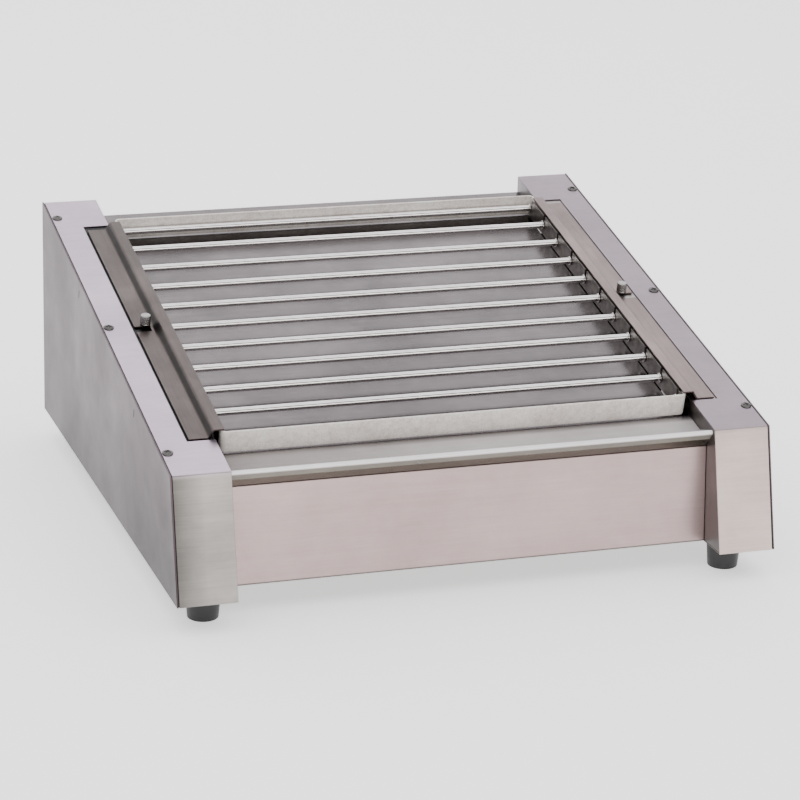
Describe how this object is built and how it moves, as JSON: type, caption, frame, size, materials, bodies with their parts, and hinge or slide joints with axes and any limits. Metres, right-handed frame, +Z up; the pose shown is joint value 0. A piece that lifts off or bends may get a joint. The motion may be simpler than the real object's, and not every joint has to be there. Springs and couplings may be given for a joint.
{
  "type": "hot dog roller grill",
  "caption": "Countertop roller grill: a sloping heated deck between two wedge towers, with a sliding rack of free-turning rods that roll sausages along it.",
  "frame": {"origin": "on the counter, under the middle of the grill: bottom centre of its box, level with the soles of the feet", "axes": "+Z up, -Y to the front where the operator stands, +X to the right seen from the front"},
  "size_m": [0.535, 0.523, 0.232],
  "materials": {
    "tower_steel": "fine brushed grain",
    "panel_steel": "fine brushed grain",
    "side_steel": "fine brushed grain",
    "wall_steel": "plain mill finish",
    "rack_steel": "mottled mill finish",
    "rail_steel": "plain mill finish",
    "guard_steel": "fine grain, heat dulled",
    "deck_steel": "satin cooking surface",
    "polished_rod": "polished",
    "bright_fasteners": "bright nickel",
    "foot_rubber": "matt black",
    "heater_aluminium": "mill finish",
    "element_sheath": "dark oxidised sheath",
    "inner_steel": "bright aluminised sheet",
    "drive_steel": "ground",
    "bush_bronze": "sintered bronze",
    "glide_plastic": "white low-friction plastic",
    "motor_paint": "dark paint",
    "control_plastic": "black moulded plastic",
    "component_plastic": "dark moulded plastic"
  },
  "bodies": {
    "chassis": {"back_panel": "panel_steel", "base_pan": "panel_steel", "cover_screws": "bright_fasteners", "deck": "deck_steel", "drive_motor": "motor_paint", "element_clamps": "inner_steel", "foot_back_left": "foot_rubber", "foot_back_right": "foot_rubber", "foot_front_left": "foot_rubber", "foot_front_right": "foot_rubber", "foot_screws": "bright_fasteners", "front_panel": "panel_steel", "gearbox": "motor_paint", "heat_shield": "inner_steel", "heat_spreader": "heater_aluminium", "heating_element_front": "element_sheath", "heating_element_rear": "element_sheath", "left_inner_wall": "wall_steel", "left_side_panel": "side_steel", "left_tower_cover": "tower_steel", "limit_switches": "component_plastic", "motor_bracket": "inner_steel", "power_inlet": "control_plastic", "right_inner_wall": "wall_steel", "right_side_panel": "side_steel", "right_tower_cover": "tower_steel", "shaft_bushes": "bush_bronze", "switch_housing": "control_plastic", "terminal_block": "component_plastic", "thermal_cutout": "component_plastic", "thermostat": "component_plastic", "thumb_nuts": "bright_fasteners"},
    "rack": {"front_band": "rack_steel", "back_band": "rack_steel", "left_side_rail": "rail_steel", "right_side_rail": "rail_steel", "rack_glides": "glide_plastic", "drive_forks": "rail_steel"},
    "rocker_shaft": {"cross_shaft": "drive_steel", "left_rocker_arm": "drive_steel", "right_rocker_arm": "drive_steel", "drive_rollers": "drive_steel"},
    "left_guard": {"left_guard": "guard_steel"},
    "right_guard": {"right_guard": "guard_steel"},
    "left_thumb_screw": {"left_thumb_screw": "bright_fasteners"},
    "right_thumb_screw": {"right_thumb_screw": "bright_fasteners"},
    "power_rocker": {"power_rocker": "control_plastic"},
    "heat_knob": {"heat_knob": "control_plastic"},
    "rod_01": {"rod_01": "polished_rod"},
    "rod_02": {"rod_02": "polished_rod"},
    "rod_03": {"rod_03": "polished_rod"},
    "rod_04": {"rod_04": "polished_rod"},
    "rod_05": {"rod_05": "polished_rod"},
    "rod_06": {"rod_06": "polished_rod"},
    "rod_07": {"rod_07": "polished_rod"},
    "rod_08": {"rod_08": "polished_rod"},
    "rod_09": {"rod_09": "polished_rod"},
    "rod_10": {"rod_10": "polished_rod"},
    "rod_11": {"rod_11": "polished_rod"}
  },
  "joints": [
    {"name": "rack_slide", "type": "slide", "parent": "chassis", "child": "rack", "axis": [0, 0.9798, 0.2001], "range_m": [-0.022, 0.04]},
    {"name": "rocker_shaft_turn", "type": "hinge", "parent": "chassis", "child": "rocker_shaft", "pos_m": [0, 0.06068, 0.09249], "axis": [-1, 0, 0], "range_deg": [-14.4, 26.1]},
    {"name": "left_guard_slide", "type": "slide", "parent": "chassis", "child": "left_guard", "axis": [0, 0.9798, 0.2001], "range_m": [0, 0.0072]},
    {"name": "right_guard_slide", "type": "slide", "parent": "chassis", "child": "right_guard", "axis": [0, 0.9798, 0.2001], "range_m": [0, 0.0072]},
    {"name": "left_thumb_screw_turn", "type": "hinge", "parent": "chassis", "child": "left_thumb_screw", "pos_m": [-0.2275, 0.012, 0.18615], "axis": [0, -0.2001, 0.9798], "continuous": true},
    {"name": "right_thumb_screw_turn", "type": "hinge", "parent": "chassis", "child": "right_thumb_screw", "pos_m": [0.2275, 0.012, 0.18615], "axis": [0, -0.2001, 0.9798], "continuous": true},
    {"name": "power_rocker_tip", "type": "hinge", "parent": "chassis", "child": "power_rocker", "pos_m": [0.096, 0.24517, 0.088], "axis": [1, 0, 0], "range_deg": [0, 14]},
    {"name": "heat_knob_turn", "type": "hinge", "parent": "chassis", "child": "heat_knob", "pos_m": [-0.12, 0.24917, 0.088], "axis": [0, 1, 0], "range_deg": [0, 270]},
    {"name": "rod_01_spin", "type": "hinge", "parent": "rack", "child": "rod_01", "pos_m": [0, -0.17186, 0.1389], "axis": [1, 0, 0], "continuous": true},
    {"name": "rod_02_spin", "type": "hinge", "parent": "rack", "child": "rod_02", "pos_m": [0, -0.13453, 0.14652], "axis": [1, 0, 0], "continuous": true},
    {"name": "rod_03_spin", "type": "hinge", "parent": "rack", "child": "rod_03", "pos_m": [0, -0.09721, 0.15415], "axis": [1, 0, 0], "continuous": true},
    {"name": "rod_04_spin", "type": "hinge", "parent": "rack", "child": "rod_04", "pos_m": [0, -0.05988, 0.16177], "axis": [1, 0, 0], "continuous": true},
    {"name": "rod_05_spin", "type": "hinge", "parent": "rack", "child": "rod_05", "pos_m": [0, -0.02255, 0.1694], "axis": [1, 0, 0], "continuous": true},
    {"name": "rod_06_spin", "type": "hinge", "parent": "rack", "child": "rod_06", "pos_m": [0, 0.01478, 0.17702], "axis": [1, 0, 0], "continuous": true},
    {"name": "rod_07_spin", "type": "hinge", "parent": "rack", "child": "rod_07", "pos_m": [0, 0.05211, 0.18465], "axis": [1, 0, 0], "continuous": true},
    {"name": "rod_08_spin", "type": "hinge", "parent": "rack", "child": "rod_08", "pos_m": [0, 0.08944, 0.19227], "axis": [1, 0, 0], "continuous": true},
    {"name": "rod_09_spin", "type": "hinge", "parent": "rack", "child": "rod_09", "pos_m": [0, 0.12677, 0.19989], "axis": [1, 0, 0], "continuous": true},
    {"name": "rod_10_spin", "type": "hinge", "parent": "rack", "child": "rod_10", "pos_m": [0, 0.1641, 0.20752], "axis": [1, 0, 0], "continuous": true},
    {"name": "rod_11_spin", "type": "hinge", "parent": "rack", "child": "rod_11", "pos_m": [0, 0.20143, 0.21514], "axis": [1, 0, 0], "continuous": true}
  ],
  "couplings": [
    {"joint": "rocker_shaft_turn", "follows": "rack_slide", "rad_per_m": 11.3}
  ]
}
